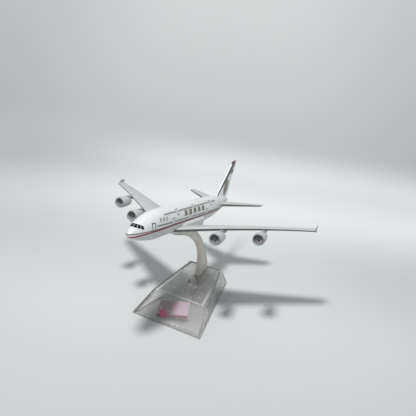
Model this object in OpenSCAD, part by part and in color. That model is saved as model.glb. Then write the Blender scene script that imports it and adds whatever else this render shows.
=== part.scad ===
// Four-engine double-deck airliner model on a curved-arm display stand.
// Millimetres. +Z is up, the nose points along -Y and the port wing along +X.
// The origin is on the table, under the middle of the whole model.
// Shapes of the aircraft are drawn in its own axes: x to port, y aft from the nose tip,
// z up from the cabin's reference line. aboard() puts them on the stand, nose up.

/* [Fuselage] */
// Length from the nose tip to the end of the tail cone
body_l = 153.8; // [150:0.1:160]
// Half of the cabin's greatest width
body_r = 7.95; // [7.6:0.05:8.2]
// Height of the cabin's roof above the reference line
roof_z = 9.35; // [9:0.05:9.6]
// Depth of the keel below the reference line
keel_z = 9.35; // [9:0.05:9.6]
// Thickness of the cast walls
wall = 1.3; // [1.1:0.1:1.5]
// Depth of the seam between the two castings below the reference line
seam_z = 4.2; // [4:0.1:4.4]

/* [Wings] */
// Half of the wingspan, out to the wingtip fences
half_span = 88.6; // [86:0.1:90]
// Sweep of the wing's leading edge in degrees
wing_sweep = 37.5; // [37:0.1:38]
// Chord at the side of the fuselage
root_chord = 36.9; // [35:0.1:38]
// Chord at the trailing edge's kink
kink_chord = 27.4; // [26:0.1:28]
// Chord at the tip
tip_chord = 8.9; // [8:0.1:9.5]

/* [Engines] */
// Greatest radius of an engine cowl
cowl_r = 4.3; // [4:0.1:4.5]
// Length of an engine cowl
cowl_l = 11.6; // [10.5:0.1:12]
// Number of blades on a fan
fan_blades = 16; // [12:1:20]

/* [Stand] */
// Nose-up angle of the aircraft on its stand in degrees
pitch = 3.77; // [2:0.01:5]
// Thickness of the stand's arm across the aircraft
arm_w = 4.5; // [4:0.25:5.5]
// Half of the base's width at its front edge
base_front_w = 29.6; // [28:0.1:31]
// Length of the base from front to back
base_l = 97; // [94:1:100]
// Height of the base at its top edge
base_h = 26; // [24:0.5:27]
// Thickness of the base's walls
base_wall = 1.8; // [1.5:0.1:2.2]

/* [Hidden] */
$fn = 64;

// Whole model: the fin's trailing tip reaches furthest aft, so it sets the origin
fin_overhang = 8.4;
fin_tip_y = body_l + fin_overhang;
fin_tip_z = 39.2;
nose_z = -2.4;
nose_height = 88.6;
nose_over_base = 57.6;
overall_l = fin_tip_y * cos(pitch) + (fin_tip_z - nose_z) * sin(pitch);
nose_front = -overall_l / 2;
front = nose_front + nose_over_base;

// Cabin: points round a ring, where the nose and tail begin, and the skin lines at the tail's end
side_points = 30;
waist_share = 0.46;
nose_roof_l = 34;
nose_keel_l = 28;
tail_roof_y = 110;
tail_keel_y = 95;
tail_side_y = 100;
tail_roof_end = 3.9;
tail_keel_end = 1.3;
tail_side_end = 1.4;
end_rings = 10;
hollow_stations = [5, 8, 12, 18, 26, 95, 104, 112, 120, 128, 136];

// Belly fairing: stations, and its side as shares of the half width and heights above its keel
fairing_y = [41, 54, 72, 85, 101];
fairing_w = [3, 8.9, 9.4, 8.9, 3];
fairing_keel = [8.6, 11.4, 12, 11.6, 8.6];
fairing_top = -3.4;
fairing_side = [[1, 4], [0.93, 1.8], [0.7, 0.3], [0.45, 0]];

// Peg at the arm's top and its socket in the belly
peg = [3.2, 9, 6.5];
peg_y = 71;
peg_gap = 0.12;
peg_sunk = 1.5;
socket_wall = 1.6;
socket_depth = 5.9;
belly_z = -12;
rest_gap = 0.1;

// Shell screws
screw_y = [51.5, 95.5];
screw_head_z = -8.4;
screw_r = 0.95;
screw_head_r = 1.7;
screw_l = 10.5;
screw_head_h = 0.9;
screw_recess = 4;
screw_gap = 0.15;
post_r = 2.3;
post_h = 8;

// Wing: distances out from the centreline, and the heights of its two edges at the side and the tip
wing_side_x = 8;
wing_root_x = 5.2;
wing_root_le = 43.9;
kink_x = 33;
fence_t = 0.55;
wing_stations = [wing_root_x, 12, 20, kink_x, 44, 56, 68, 79, half_span - 0.5];
wing_le_z = [-5.35, 2.8, 1.3];
wing_te_z = [-8.5, 3.4, 0.4];
wing_cut_x = 7.6;
wing_cut_h = 10;
foil_edge = 0.12;
fence_outline = [[1.2, 0], [5.5, 2.9], [8.7, 2.9], [8.8, 0], [7.8, -2.3], [5.3, -2.3]];
flap_x = [19, 27, 38, 50, 62];
flap_l = 7;
flap_r = 0.65;
flap_tip_r = 0.1;
flap_overlap = 0.98;
flap_drop = 0.45;

// Fin: heights, chord at the bend under its rounded tip, sweeps of its edges
fin_root_z = 3.4;
fin_bend_z = 34.2;
fin_stations = [fin_root_z, 22, fin_bend_z, 36.4, 38.2, fin_tip_z];
fin_tip_chord = 3.5;
fin_bend_chord = 11.8;
fin_le_sweep = 44;
fin_te_sweep = 17.5;
fin_thick = 0.09;

// Tailplane: distances out, edges at the tip, sweeps of its edges, and its rise
tail_tip_x = 35;
tail_root_x = 2.4;
tail_stations = [tail_root_x, 12, 23, tail_tip_x - 1.6, tail_tip_x];
tail_tip_le = 146.4;
tail_tip_te = 156.4;
tail_le_sweep = 34.5;
tail_te_sweep = 13.5;
tail_root_z = 1.2;
tail_rise = 0.11;
tail_thick = 0.15;
tail_clip = 1.4;

// Engines: distance out, distance aft of the inlet lip, height of the axis
engine_at = [[56.8, 67.1, -3.8], [32.6, 50.1, -6.6], [-32.6, 50.1, -6.6], [-56.8, 67.1, -3.8]];
fan_y = 2.6;
fan_h = 1.2;
fan_fit = 0.98;
spinner_l = 1.3;
blade = [0.7, 0.24, 0.6];
core_fit = 0.96;
core_y = 8.2;
core_l = 8.6;
cowl_outline = [
    [-0.75, 0], [-0.35, 0.3], [-0.1, 1.2], [0, 3], [-0.02, 5], [-0.25, 7.5], [-0.85, cowl_l],
    [-1.15, cowl_l], [-1, 8.5], [-0.95, 5], [-1.05, 2], [-0.98, 0.4]
];
core_outline = [[2.75, 0], [2.4, 4.2], [2.1, 5.6], [1.8, 5.6], [1.5, 4.6], [0.25, core_l], [0, core_l]];
pylon_t = 1.4;
pylon_outline = [[3, 3.5], [8, 4.9], [13.5, 5.2], [16, 4.9], [24, 3.6], [25.5, 2.9], [19, 1.3], [13, 1.6]];

// Stand
deck_y = 19.5;
deck_z = 15.5;
deck_w = 25;
shoulder_w = 20.4;
shoulder_drop = 2.2;
top_y = 66.8;
top_w = 15.6;
base_back_w = 13;
lip_h = 1.2;
tang = [arm_w, 12, 14];
tang_y = 52.5;
tang_up = 2;
tang_gap = 0.12;
tang_end_gap = 0.3;
base_socket_wall = 1.4;
base_socket_floor = 0.6;
post_y = 43;
post_outer_r = 4.2;
post_inner_r = 2.8;
post_hole_h = 14;
card = [24.5, 14, 0.3];
card_up = 13.8;
card_turn = 15;
arm_steps = 14;
arm_front_points = [[-3.5, 74.9], [19, 69.2], [52, 58], [49.8, 33]];
arm_rear_points = [[66.2, base_h + 0.6], [56, 52], [38, 66.5], [21, 75.4]];
arm_foot = [49.9, 66.2];

// ---- Curves and lofts ----

// Point on a cubic Bezier curve
function bezier(p, t) =
    pow(1 - t, 3) * p[0] + 3 * pow(1 - t, 2) * t * p[1] + 3 * (1 - t) * t * t * p[2] + t * t * t * p[3];

function bezier_curve(p, n) = [for (i = [0:n]) bezier(p, i / n)];

function clamp01(u) = max(0, min(1, u));

// Rounded rise from 0 to 1 over the nose
function nose_rise(u, p, q) = pow(1 - pow(1 - clamp01(u), p), 1 / q);

// Skin lines of the fuselage at a station y
function roof(y) =
    nose_z + (roof_z - nose_z) * nose_rise(y / nose_roof_l, 2.1, 1.42)
    - (roof_z - tail_roof_end) * pow(clamp01((y - tail_roof_y) / (body_l - tail_roof_y)), 1.8);
function keel(y) =
    nose_z - (keel_z + nose_z) * nose_rise(y / nose_keel_l, 1.85, 1.5)
    + (keel_z + tail_keel_end) * pow(clamp01((y - tail_keel_y) / (body_l - tail_keel_y)), 1.5);
function half_width(y) =
    body_r * nose_rise(y / nose_keel_l, 2, 1.55)
    - (body_r - tail_side_end) * pow(clamp01((y - tail_side_y) / (body_l - tail_side_y)), 1.8);
function waist(y) =
    let (low = keel(y), high = roof(y)) min(low + (high - low) * waist_share, high - 0.3);

// Cross-section at a station y, moved inward by an inset
function body_ring(y, inset) =
    let (w = half_width(y) - inset, top = roof(y) - inset, low = keel(y) + inset, mid = waist(y))
    [for (i = [0:side_points - 1])
        let (a = 360 * (i + 0.5) / side_points)
        [w * cos(a), y, mid + (sin(a) > 0 ? top - mid : mid - low) * sin(a)]];

// Closed solid through a list of rings with equal numbers of points
module loft(rings) {
    n = len(rings[0]);
    m = len(rings);
    sides = [for (j = [0:m - 2], i = [0:n - 1])
        let (a = j * n + i, b = j * n + (i + 1) % n)
        each [[a, b, b + n], [a, b + n, a + n]]];
    first = [[for (i = [n - 1:-1:0]) i]];
    last = [[for (i = [0:n - 1]) (m - 1) * n + i]];
    polyhedron(points = [for (r = rings) each r], faces = concat(sides, first, last));
}

// ---- Fuselage ----

// Places the aircraft's own axes on the stand
module aboard() {
    translate([0, nose_front, nose_height])
        rotate([-pitch, 0, 0])
            translate([0, 0, -nose_z])
                children();
}

module body_solid() {
    last = end_rings - 1;
    nose_stations = [for (i = [0:last]) nose_roof_l * pow((i + 0.2) / (last + 0.2), 2)];
    tail_stations = [for (i = [0:last]) tail_keel_y + (body_l - tail_keel_y) * i / last];
    loft([for (y = concat(nose_stations, tail_stations)) body_ring(y, 0)]);
}

module body_hollow() {
    loft([for (y = hollow_stations) body_ring(y, wall)]);
}

// Everything above the seam plane
module above_seam() {
    translate([-20, -5, -seam_z])
        cube([40, body_l + 15, 30]);
}

module fairing_solid() {
    n = len(fairing_side);
    loft([for (i = [0:len(fairing_y) - 1])
        let (y = fairing_y[i], w = fairing_w[i], low = -fairing_keel[i])
        concat([[w, y, fairing_top], [-w, y, fairing_top]],
            [for (j = [0:n - 1]) [-w * fairing_side[j][0], y, low + fairing_side[j][1]]],
            [for (j = [n - 1:-1:0]) [w * fairing_side[j][0], y, low + fairing_side[j][1]]])]);
}

module screw_holes(top) {
    for (y = screw_y) {
        translate([0, y, screw_head_z - screw_recess])
            cylinder(r = screw_head_r + screw_gap, h = screw_recess);
        translate([0, y, screw_head_z - 0.01])
            cylinder(r = screw_r, h = top);
    }
}

module fuselage_upper_casting() {
    color("white")
        aboard()
            difference() {
                union() {
                    difference() {
                        intersection() {
                            body_solid();
                            above_seam();
                        }
                        body_hollow();
                    }
                    for (y = screw_y)
                        translate([0, y, -seam_z])
                            cylinder(r = post_r, h = seam_z + roof_z - wall / 2);
                }
                screw_holes(screw_l);
                fin_solid();
                tailplane_solid();
                mirror([1, 0, 0])
                    tailplane_solid();
            }
}

module socket_block() {
    block = [peg.x + 2 * socket_wall, peg.y + 2 * socket_wall];
    translate([-block.x / 2, peg_y - block.y / 2, belly_z + 0.4])
        cube([block.x, block.y, socket_depth]);
}

module socket_space() {
    width = peg.x + 2 * peg_gap;
    length = peg.y + 2 * peg_gap;
    translate([-width / 2, peg_y - length / 2, belly_z - 1])
        cube([width, length, peg.z]);
}

module fuselage_lower_casting() {
    color("silver")
        aboard()
            difference() {
                union() {
                    difference() {
                        union() {
                            body_solid();
                            fairing_solid();
                        }
                        body_hollow();
                    }
                    for (y = screw_y)
                        translate([0, y, screw_head_z - 0.2])
                            cylinder(r = post_r, h = post_h);
                    socket_block();
                }
                above_seam();
                screw_holes(screw_l);
                socket_space();
                wing_solid();
                mirror([1, 0, 0])
                    wing_solid();
            }
}

module shell_screws() {
    color("gray")
        aboard()
            for (y = screw_y) {
                translate([0, y, screw_head_z - screw_head_h])
                    cylinder(r = screw_head_r, h = screw_head_h);
                translate([0, y, screw_head_z - screw_head_h / 2])
                    cylinder(r = screw_r, h = screw_l);
            }
}

// ---- Wings and tail ----

// Half thickness of an aerofoil at chord fraction u, as a fraction of the thickness
function aerofoil(u) =
    5 * (0.2969 * sqrt(u) - 0.126 * u - 0.3516 * u * u + 0.2843 * pow(u, 3) - 0.1015 * pow(u, 4));

// Chord fractions from the trailing edge along the underside to the leading edge and back over the top
foil_steps = 7;
foil_path = [for (i = [-foil_steps:foil_steps]) pow(abs(i) / foil_steps, 1.6)];

function foil_ring(le, chord, thick, place) =
    [for (i = [0:2 * foil_steps])
        let (u = foil_path[i], side = i < foil_steps ? -1 : (i > foil_steps ? 1 : 0))
        place(u, le + u * chord, side * (aerofoil(u) * thick + foil_edge))];

function wing_le(x) = wing_root_le + (x - wing_side_x) * tan(wing_sweep);
function wing_chord(x) =
    x < kink_x
        ? root_chord + (kink_chord - root_chord) * (x - wing_side_x) / (kink_x - wing_side_x)
        : kink_chord + (tip_chord - kink_chord) * (x - kink_x) / (half_span - kink_x);

// Height of an edge of the wing, from its values at the side and the tip and its rise between them
function edge_z(e, x) =
    let (u = (x - wing_side_x) / (half_span - wing_side_x)) e[0] + (e[1] - e[0]) * u + 4 * e[2] * u * (1 - u);

// Height of the wing's middle surface at chord fraction u: the wing twists from nose-up to level at the tip
function wing_z(x, u) = edge_z(wing_le_z, x) * (1 - u) + edge_z(wing_te_z, x) * u;
function wing_thick(x) = 0.5 + 0.095 * wing_chord(x);

// The wing's root is cut level with the seam, so that the two castings clamp it
module wing_loft() {
    difference() {
        loft([for (x = wing_stations)
            foil_ring(wing_le(x), wing_chord(x), wing_thick(x), function (u, y, h) [x, y, wing_z(x, u) + h])]);
        translate([wing_root_x - 1, wing_root_le - 10, -seam_z])
            cube([wing_cut_x - wing_root_x + 1, root_chord + 20, wing_cut_h]);
    }
}

// Canoe-shaped housing of a flap track, blunt at both ends
module flap_housing(x) {
    length = flap_l + wing_chord(x) * 0.12;
    tail = wing_le(x) + wing_chord(x);
    steps = 8;
    translate([x, tail - length * flap_overlap, wing_z(x, 0.9) - flap_drop])
        rotate([-90, 0, 0])
            rotate_extrude($fn = 24)
                polygon(concat([[0, 0]],
                    [for (i = [0:steps]) [flap_tip_r + flap_r * sin(180 * i / steps), length * i / steps]],
                    [[0, length]]));
}

module wing_fence() {
    x = half_span - fence_t;
    translate([x, wing_le(x), (wing_le_z[1] + wing_te_z[1]) / 2])
        rotate([90, 0, 90])
            linear_extrude(fence_t)
                polygon(fence_outline);
}

module wing_solid() {
    wing_loft();
    wing_fence();
    for (x = flap_x)
        flap_housing(x);
}

module port_wing() {
    color("lightgray")
        aboard()
            wing_solid();
}

module starboard_wing() {
    color("lightgray")
        aboard()
            mirror([1, 0, 0])
                wing_solid();
}

function fin_le(z) =
    z > fin_bend_z
        ? fin_tip_y - fin_tip_chord
            - (fin_bend_chord - fin_tip_chord) * sqrt(1 - pow((z - fin_bend_z) / (fin_tip_z - fin_bend_z), 2))
        : fin_tip_y - fin_bend_chord - (fin_bend_z - z) * tan(fin_le_sweep);
function fin_te(z) = fin_tip_y - (fin_tip_z - z) * tan(fin_te_sweep);

module fin_solid() {
    loft([for (z = fin_stations)
        foil_ring(fin_le(z), fin_te(z) - fin_le(z), (fin_te(z) - fin_le(z)) * fin_thick,
            function (u, y, h) [-h, y, z])]);
}

module fin() {
    color("white")
        aboard()
            fin_solid();
}

function tail_le(x) = tail_tip_le - (tail_tip_x - x) * tan(tail_le_sweep);
function tail_te(x) = tail_tip_te - (tail_tip_x - x) * tan(tail_te_sweep);
function tail_z(x) = tail_root_z + (x - 4) * tail_rise;

module tailplane_solid() {
    loft([for (x = tail_stations)
        let (clip = x > tail_tip_x - 1 ? tail_clip : 0, chord = tail_te(x) - tail_le(x) - clip)
        foil_ring(tail_le(x) + clip, chord, chord * tail_thick, function (u, y, h) [x, y, tail_z(x) + h])]);
}

module port_tailplane() {
    color("lightgray")
        aboard()
            tailplane_solid();
}

module starboard_tailplane() {
    color("lightgray")
        aboard()
            mirror([1, 0, 0])
                tailplane_solid();
}

// ---- Engines ----

// Puts a piece drawn along +Z from the inlet lip at engine i's place
module at_engine(i) {
    aboard()
        translate(engine_at[i])
            rotate([-90, 0, 0])
                children();
}

module cowl_solid() {
    rotate_extrude()
        polygon([for (p = cowl_outline) [cowl_r + p[0], p[1]]]);
}

// The hole's radius where the fan sits
fan_r = cowl_r - fan_fit;

module engine_cowl(i) {
    color("gainsboro")
        at_engine(i)
            cowl_solid();
}

module engine_fan(i) {
    color("dimgray")
        at_engine(i)
            translate([0, 0, fan_y]) {
                cylinder(r = fan_r, h = fan_h);
                for (b = [0:fan_blades - 1])
                    rotate([0, 0, b * 360 / fan_blades])
                        translate([blade.x, -blade.y / 2, 0.1 - blade.z])
                            cube([fan_r - blade.x - 0.15, blade.y, blade.z]);
                translate([0, 0, -spinner_l])
                    cylinder(r1 = 0.25, r2 = 1, h = spinner_l + 0.05);
            }
}

// Hot nozzle and exhaust plug, on a spider that fills the cowl's rear
module core_solid() {
    rim = cowl_r - core_fit;
    rotate_extrude()
        polygon(concat([[0, fan_y + fan_h], [rim, fan_y + fan_h], [rim, 5]],
            [for (p = core_outline) [p[0], core_y + p[1]]]));
}

module engine_core(i) {
    color("silver")
        at_engine(i)
            core_solid();
}

module engine_pylon(i) {
    color("lightgray")
        difference() {
            aboard()
                translate(engine_at[i])
                    rotate([90, 0, 90])
                        translate([0, 0, -pylon_t / 2])
                            linear_extrude(pylon_t)
                                polygon(pylon_outline);
            at_engine(i) {
                cylinder(r = cowl_r - 0.9, h = cowl_l);
                cowl_solid();
                core_solid();
            }
            aboard()
                mirror([i < 2 ? 0 : 1, 0, 0])
                    wing_loft();
        }
}

// ---- Stand ----

arm_front = bezier_curve(arm_front_points, arm_steps);
arm_rear = bezier_curve(arm_rear_points, arm_steps);

// Line of the arm's top, which follows the flat of the belly fairing
function belly_line(y) =
    nose_height - (y + nose_over_base) * tan(pitch) + (belly_z - nose_z) / cos(pitch) - rest_gap;

function deck_height(y) = deck_z + (base_h - deck_z) * (y - deck_y) / (top_y - deck_y);

module arm_profile() {
    foot = [for (y = arm_foot) [y, deck_height(y) + rest_gap]];
    polygon(concat([for (p = arm_front) [p.x, min(p.y, belly_line(p.x))]], foot,
        [for (p = arm_rear) [p.x, min(p.y, belly_line(p.x))]],
        [[arm_front[0].x, belly_line(arm_front[0].x)]]));
}

// The stand's own axes start at the middle of the base's front edge
module on_table() {
    translate([0, front, 0])
        children();
}

module stand_arm() {
    color("darkgray") {
        on_table() {
            rotate([90, 0, 90])
                translate([0, 0, -arm_w / 2])
                    linear_extrude(arm_w)
                        arm_profile();
            translate([-tang.x / 2, tang_y, deck_height(tang_y) - tang.z + tang_up])
                cube(tang);
        }
        aboard()
            translate([-peg.x / 2, peg_y - peg.y / 2, belly_z - peg_sunk])
                cube([peg.x, peg.y, peg.z - 0.7]);
    }
}

// A pair of corners, one on each side of the middle
function corner(w, y, z) = [[w, y, z], [-w, y, z]];

// The base's outer form, moved inward by an inset that keeps its faces parallel
module wedge(inset) {
    flat = 0.01;
    low = inset > 0 ? -1 : 0;
    back_y = base_l - inset;
    crease_y = deck_y + inset * 0.6;
    points = concat(
        corner(base_front_w - inset, inset, low),
        corner(base_front_w - inset, inset, lip_h - inset * 0.5),
        corner(deck_w - inset, crease_y, deck_z - inset - shoulder_drop),
        corner(shoulder_w - inset, crease_y, deck_z - inset * 0.83),
        corner(top_w - inset, top_y - inset * 0.4, base_h - inset * 1.1),
        corner(base_back_w - inset, back_y, lip_h - inset * 0.4),
        corner(base_back_w - inset, back_y, low));
    hull()
        for (p = points)
            translate(p)
                cube(flat);
}

module socket_outer() {
    w = base_socket_wall;
    translate([-tang.x / 2 - w, tang_y - w, deck_height(tang_y) - tang.z - base_socket_floor])
        cube([tang.x + 2 * w, tang.y + 2 * w, tang.z]);
}

module socket_inner() {
    g = tang_gap;
    translate([-tang.x / 2 - g, tang_y - g, deck_height(tang_y) - tang.z + tang_up - tang_end_gap])
        cube([tang.x + 2 * g, tang.y + 2 * g, tang.z + 10]);
}

module stand_base() {
    color("gray")
        on_table()
            difference() {
                union() {
                    difference() {
                        wedge(0);
                        wedge(base_wall);
                    }
                    intersection() {
                        union() {
                            socket_outer();
                            translate([0, post_y, 0])
                                difference() {
                                    cylinder(r = post_outer_r, h = base_h + 4);
                                    translate([0, 0, -1])
                                        cylinder(r = post_inner_r, h = post_hole_h + 1);
                                }
                        }
                        wedge(0);
                    }
                }
                socket_inner();
            }
}

// Angle of the front face above the table
front_slope = atan2(deck_z - lip_h, deck_y);

module base_card() {
    color("pink")
        on_table()
            translate([0, 0, lip_h])
                rotate([front_slope, 0, 0])
                    translate([0, card_up, -base_wall])
                        rotate([0, 0, card_turn])
                            translate([-card.x / 2, -card.y / 2, -card.z])
                                cube(card);
}

fuselage_upper_casting();
fuselage_lower_casting();
port_wing();
starboard_wing();
fin();
port_tailplane();
starboard_tailplane();
engine_cowl(0);  // engine_1_cowl
engine_cowl(1);  // engine_2_cowl
engine_cowl(2);  // engine_3_cowl
engine_cowl(3);  // engine_4_cowl
engine_fan(0);  // engine_1_fan
engine_fan(1);  // engine_2_fan
engine_fan(2);  // engine_3_fan
engine_fan(3);  // engine_4_fan
engine_core(0);  // engine_1_core
engine_core(1);  // engine_2_core
engine_core(2);  // engine_3_core
engine_core(3);  // engine_4_core
engine_pylon(0);  // engine_1_pylon
engine_pylon(1);  // engine_2_pylon
engine_pylon(2);  // engine_3_pylon
engine_pylon(3);  // engine_4_pylon
shell_screws();
stand_arm();
stand_base();
base_card();
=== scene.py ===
import math
import bmesh
import bpy
import numpy as np
from mathutils import Matrix, Vector


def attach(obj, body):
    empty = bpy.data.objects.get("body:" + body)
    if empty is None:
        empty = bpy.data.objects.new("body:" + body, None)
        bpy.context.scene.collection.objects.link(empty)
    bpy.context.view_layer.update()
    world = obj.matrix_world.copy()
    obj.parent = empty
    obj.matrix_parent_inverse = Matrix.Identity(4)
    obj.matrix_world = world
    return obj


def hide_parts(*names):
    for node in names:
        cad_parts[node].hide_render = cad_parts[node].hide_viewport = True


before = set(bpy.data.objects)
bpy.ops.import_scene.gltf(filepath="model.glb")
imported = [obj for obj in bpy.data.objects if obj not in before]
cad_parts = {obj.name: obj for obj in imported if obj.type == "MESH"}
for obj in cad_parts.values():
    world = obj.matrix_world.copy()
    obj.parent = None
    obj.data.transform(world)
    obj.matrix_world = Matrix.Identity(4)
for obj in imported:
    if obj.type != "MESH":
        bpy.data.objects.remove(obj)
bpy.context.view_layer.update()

# ---- Sizes in millimetres, as the CAD has them ----

MM = 0.001
PITCH = math.radians(3.77)
# Cabin: its length, radius, roof and keel. The seam between the castings lies below its axis
BODY_L, BODY_R, ROOF_Z, KEEL_Z = 153.8, 7.95, 9.35, 9.35
SEAM_Z, SEAM_GAP = 4.2, 0.03
NOSE_Z, NOSE_HEIGHT = -2.4, 88.6
NOSE_L, CHIN_L, TAPER_Y = 34, 28, 110  # where the roof and the chin are full size, and the tail begins
# Belly fairing: stations, and its half width and depth at each
FAIR_Y = [39, 41, 54, 72, 85, 101, 104]
FAIR_W = [2.0, 3.0, 8.9, 9.4, 8.9, 3.0, 2.0]
FAIR_D = [8.3, 8.6, 11.4, 12.0, 11.6, 8.6, 8.3]
FAIR_Z, BELLY_Z = -4.0, -12.0
# Wings: plan, and for each edge its height at the side, at the tip and the bow between them
HALF_SPAN, WING_SWEEP = 88.6, math.radians(37.5)
ROOT_CHORD, KINK_CHORD, TIP_CHORD = 36.9, 27.4, 8.9
WING_SIDE_X, WING_ROOT_X, KINK_X, WING_ROOT_LE = 8.0, 5.2, 33.0, 43.9
LE_Z, TE_Z = (-5.35, 2.8, 1.3), (-8.5, 3.4, 0.4)
HOUSING_X = (19, 27, 38, 50, 62)
# Fin: its tip is rounded in front, with a short flat behind
FIN_TIP_Y, FIN_TIP_Z, FIN_BEND_Z, FIN_ROOT_Z = BODY_L + 8.4, 39.2, 34.2, 3.4
FIN_TOP_Z = FIN_TIP_Z - 0.05  # just inside the CAD's rounded tip
FIN_FLAT, FIN_ROUND = 3.5, 8.3
FIN_LE_SLOPE, FIN_TE_SLOPE = math.tan(math.radians(44)), math.tan(math.radians(17.5))
# Tailplanes
TAIL_TIP_X, TAIL_ROOT_X, TAIL_ROUND = 35.0, 2.4, 1.6
TAIL_TIP_LE, TAIL_TIP_TE = 146.4, 156.4
TAIL_LE_SLOPE, TAIL_TE_SLOPE = math.tan(math.radians(34.5)), math.tan(math.radians(13.5))
TAIL_SIDE_X, TAIL_RISE = 4, 0.11
# Engines: their axes' front ends, by number from the port wingtip
ENGINES = {1: (56.8, 67.1, -3.8), 2: (32.6, 50.1, -6.6), 3: (-32.6, 50.1, -6.6), 4: (-56.8, 67.1, -3.8)}
COWL_R, COWL_L = 4.3, 11.6
FAN_Y, FAN_BACK, FAN_HUB_R, FAN_BLADES = 2.6, 1.2, 1.0, 16
CORE_Y, CORE_L = 8.2, 8.6
PYLON_Y, PYLON_L = 3, 22.5
SCREW_Y, SCREW_HEAD_Z = (51.5, 95.5), -8.4
# Stand
NOSE_FRONT = -(FIN_TIP_Y * math.cos(PITCH) + (FIN_TIP_Z - NOSE_Z) * math.sin(PITCH)) / 2
BASE_AFT = 57.6  # from the nose back to the front of the base
FRONT = NOSE_FRONT + BASE_AFT
BASE_H, DECK_Y, DECK_Z, TOP_Y = 26.0, 19.5, 15.5, 66.8
FRONT_W, DECK_W, SHOULDER_W, TOP_W = 29.6, 25.0, 20.4, 15.6
BASE_WALL, LIP_H, REST_GAP = 1.8, 1.2, 0.1
ARM_W, ARM_TOP_Y, ARM_FOOT_Y = 4.5, -3.5, 66.2
PEG, PEG_Y = (3.2, 9.0, 6.5), 71.0
TANG, TANG_Y, TANG_UP = (ARM_W, 12.0, 14.0), 52.5, 2
CARD, CARD_UP, CARD_TURN = (24.5, 14.0, 0.3), 13.8, math.radians(15)
FACE_SLOPE = math.atan2(DECK_Z - LIP_H, DECK_Y)


def aboard(points):
    """Points in the aircraft's own axes, in millimetres, to the row frame in metres."""
    p = np.asarray(points, float).reshape(-1, 3)
    c, s = math.cos(PITCH), math.sin(PITCH)
    y, z = p[:, 1], p[:, 2] - NOSE_Z
    return np.stack([p[:, 0], NOSE_FRONT + y * c + z * s, NOSE_HEIGHT - y * s + z * c], 1) * MM


def on_table(points):
    """Points in the stand's own axes, in millimetres, to the row frame in metres."""
    p = np.asarray(points, float).reshape(-1, 3)
    return (p + np.array([0, FRONT, 0])) * MM


# ---- Meshes ----

def new_mesh(name, verts, faces, smooth_angle=35):
    me = bpy.data.meshes.new(name)
    me.from_pydata([tuple(v) for v in np.asarray(verts)], [], [tuple(int(i) for i in f) for f in faces])
    bm = bmesh.new()
    bm.from_mesh(me)
    bmesh.ops.remove_doubles(bm, verts=bm.verts, dist=1e-7)
    bmesh.ops.recalc_face_normals(bm, faces=bm.faces)
    bm.to_mesh(me)
    bm.free()
    ob = bpy.data.objects.new(name, me)
    bpy.context.scene.collection.objects.link(ob)
    shade(ob, smooth_angle)
    return ob


def shade(ob, angle):
    """Smooth shading, with edges sharper than angle kept crisp."""
    me = ob.data
    me.polygons.foreach_set("use_smooth", [True] * len(me.polygons))
    bm = bmesh.new()
    bm.from_mesh(me)
    for e in bm.edges:
        e.smooth = not (e.is_manifold and e.calc_face_angle(0) > math.radians(angle))
    bm.to_mesh(me)
    bm.free()


def put_points(ob, points):
    """Moves every vertex of a mesh to its own new place."""
    ob.data.vertices.foreach_set("co", points.astype(np.float32).ravel())
    ob.data.update()


def finish_piece(ob, body, nodes, material):
    if ob.data.materials:
        ob.data.materials[0] = material
    else:
        ob.data.materials.append(material)
    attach(ob, body)
    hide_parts(*nodes)


def apply_modifiers(ob):
    dg = bpy.context.evaluated_depsgraph_get()
    me = bpy.data.meshes.new_from_object(ob.evaluated_get(dg))
    ob.modifiers.clear()
    ob.data = me


def join(ob, other, operation):
    """Adds another closed mesh to this one, or cuts it out, and removes it."""
    m = ob.modifiers.new("join", "BOOLEAN")
    m.object, m.operation, m.solver = other, operation, "EXACT"
    m.use_self = operation == "DIFFERENCE"
    apply_modifiers(ob)
    bpy.data.objects.remove(other)


def bevel(ob, width, segments, angle):
    m = ob.modifiers.new("bevel", "BEVEL")
    m.width = width * MM
    m.segments = segments
    m.limit_method = "ANGLE"
    m.angle_limit = math.radians(angle)
    apply_modifiers(ob)


BOX_FACES = [[3, 2, 1, 0], [4, 5, 6, 7], [0, 1, 5, 4], [1, 2, 6, 5], [2, 3, 7, 6], [3, 0, 4, 7]]


class Shell:
    """Collects closed surfaces, as points in millimetres and faces, into one mesh."""

    def __init__(self):
        self.verts, self.faces = [], []

    def add(self, verts, faces):
        n = sum(len(v) for v in self.verts)
        self.verts.append(np.asarray(verts, float).reshape(-1, 3))
        self.faces += [[i + n for i in f] for f in faces]

    def loft(self, rings, caps=True):
        rings = np.asarray(rings, float)
        m, n = rings.shape[:2]
        faces = [[j * n + i, j * n + (i + 1) % n, (j + 1) * n + (i + 1) % n, (j + 1) * n + i]
                 for j in range(m - 1) for i in range(n)]
        verts = rings.reshape(-1, 3)
        if caps:
            ends = np.stack([rings[0].mean(0), rings[-1].mean(0)])
            a, b = m * n, m * n + 1
            faces += [[a, (i + 1) % n, i] for i in range(n)]
            faces += [[b, (m - 1) * n + i, (m - 1) * n + (i + 1) % n] for i in range(n)]
            verts = np.concatenate([verts, ends])
        self.add(verts, faces)

    def object(self, name, place, smooth_angle=35):
        return new_mesh(name, place(np.concatenate(self.verts)), self.faces, smooth_angle)


def turns(steps):
    """Even angles once round a circle, without the last, which is the first again."""
    return np.linspace(0, 2 * math.pi, steps, endpoint=False)


def smooth_step(u):
    u = np.clip(u, 0, 1)
    return u * u * (3 - 2 * u)


# ---- Fuselage ----

def nose_rise(u, p, q):
    return (1 - (1 - np.clip(u, 0, 1)) ** p) ** (1 / q)


def tail_fall(y, start, power):
    return np.clip((y - start) / (BODY_L - start), 0, 1) ** power


def roof(y):
    rise = (ROOF_Z - NOSE_Z) * nose_rise(y / NOSE_L, 2.1, 1.42)
    return NOSE_Z + rise - (ROOF_Z - 3.9) * tail_fall(y, TAPER_Y, 1.8)


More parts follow.
